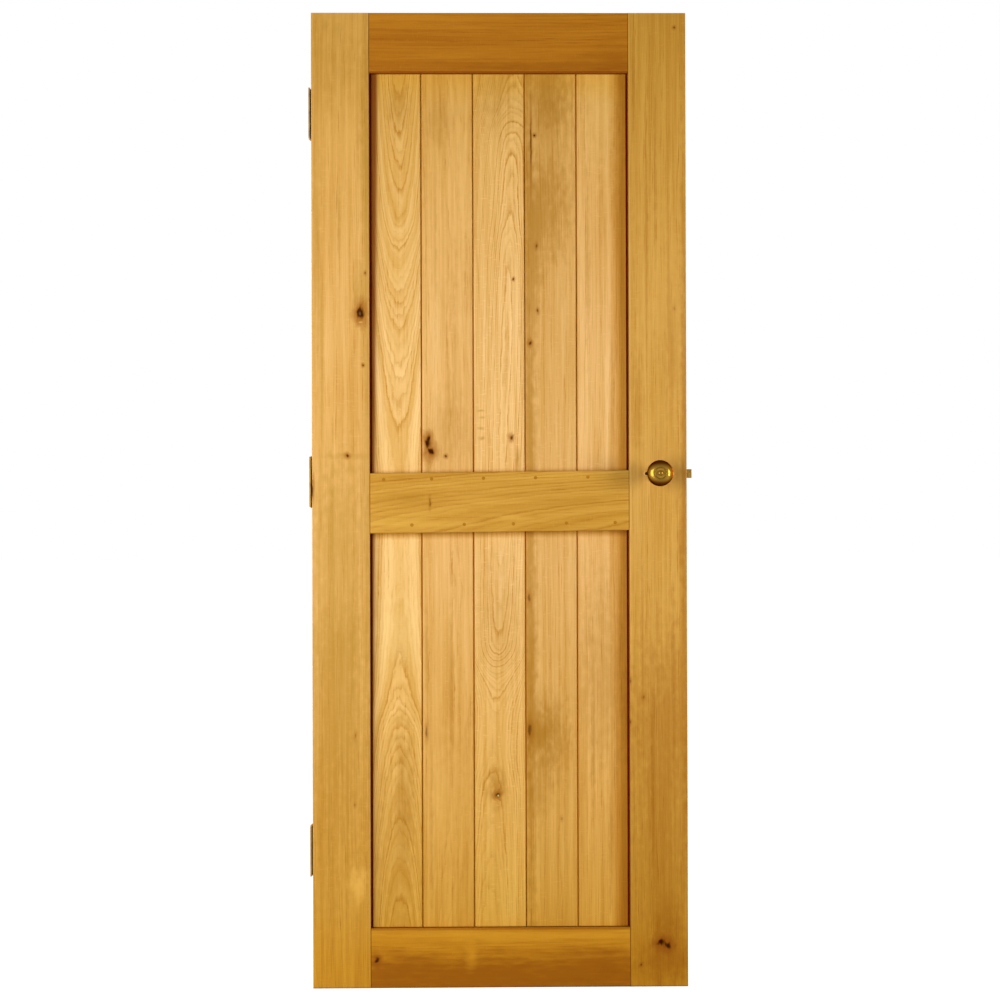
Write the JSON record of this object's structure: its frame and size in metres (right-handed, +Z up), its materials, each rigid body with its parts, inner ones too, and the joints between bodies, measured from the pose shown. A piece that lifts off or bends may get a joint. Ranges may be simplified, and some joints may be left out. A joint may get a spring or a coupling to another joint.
{
  "type": "oak door",
  "caption": "Solid oak door leaf: V-jointed boards in a morticed frame with a pegged mid rail, turned brass knobs, a mortice latch and butt hinges.",
  "frame": {"origin": "middle of the leaf's bottom edge, halfway through its thickness", "axes": "+X from the hinges to the latch, the face with the pictured knob looks along -Y, +Z up"},
  "size_m": [0.781, 0.154, 1.981],
  "materials": {
    "oak_frame": "planed oak, clear satin oil",
    "oak_boards": "planed oak, clear satin oil",
    "oak_pegs": "cleft oak end grain, clear satin oil",
    "knob_brass": "turned and polished, lightly aged",
    "hinge_brass": "drawn brass, dulled",
    "latch_brass": "satin brass",
    "plated_steel": "bright zinc plate"
  },
  "bodies": {
    "frame_side": {"lower_hinge_frame_flap": "hinge_brass", "middle_hinge_frame_flap": "hinge_brass", "upper_hinge_frame_flap": "hinge_brass", "lower_hinge_pin": "hinge_brass", "middle_hinge_pin": "hinge_brass", "upper_hinge_pin": "hinge_brass"},
    "leaf": {"hinge_stile": "oak_frame", "latch_stile": "oak_frame", "top_rail": "oak_frame", "bottom_rail": "oak_frame", "front_mid_rail": "oak_frame", "back_mid_rail": "oak_frame", "board_1": "oak_boards", "board_2": "oak_boards", "board_3": "oak_boards", "board_4": "oak_boards", "board_5": "oak_boards", "rail_pegs": "oak_pegs", "tenon_wedges": "oak_pegs", "lower_hinge_leaf_flap": "hinge_brass", "middle_hinge_leaf_flap": "hinge_brass", "upper_hinge_leaf_flap": "hinge_brass", "hinge_screws": "hinge_brass", "latch_case": "plated_steel", "latch_forend": "latch_brass", "forend_screws": "latch_brass", "latch_spring": "plated_steel", "front_rose": "knob_brass", "back_rose": "knob_brass", "rose_screws": "knob_brass"},
    "knobs": {"front_knob": "knob_brass", "back_knob": "knob_brass", "spindle": "plated_steel", "latch_follower": "plated_steel", "knob_grub_screws": "plated_steel"},
    "latch": {"latch_bolt": "latch_brass"}
  },
  "joints": [
    {"name": "leaf_swing", "type": "hinge", "parent": "frame_side", "child": "leaf", "pos_m": [-0.3825, 0.028, 0], "axis": [0, 0, 1], "range_deg": [0, 110]},
    {"name": "knob_turn", "type": "hinge", "parent": "leaf", "child": "knobs", "pos_m": [0.324, 0, 1.043], "axis": [0, 1, 0], "range_deg": [0, 72]},
    {"name": "latch_slide", "type": "slide", "parent": "leaf", "child": "latch", "axis": [-1, 0, 0], "range_m": [0, 0.012], "stiffness_N_per_m": 400, "springref_m": -0.006, "deforming": ["latch_spring"]}
  ],
  "couplings": [
    {"joint": "latch_slide", "follows": "knob_turn", "m_per_rad": 0.009549}
  ]
}
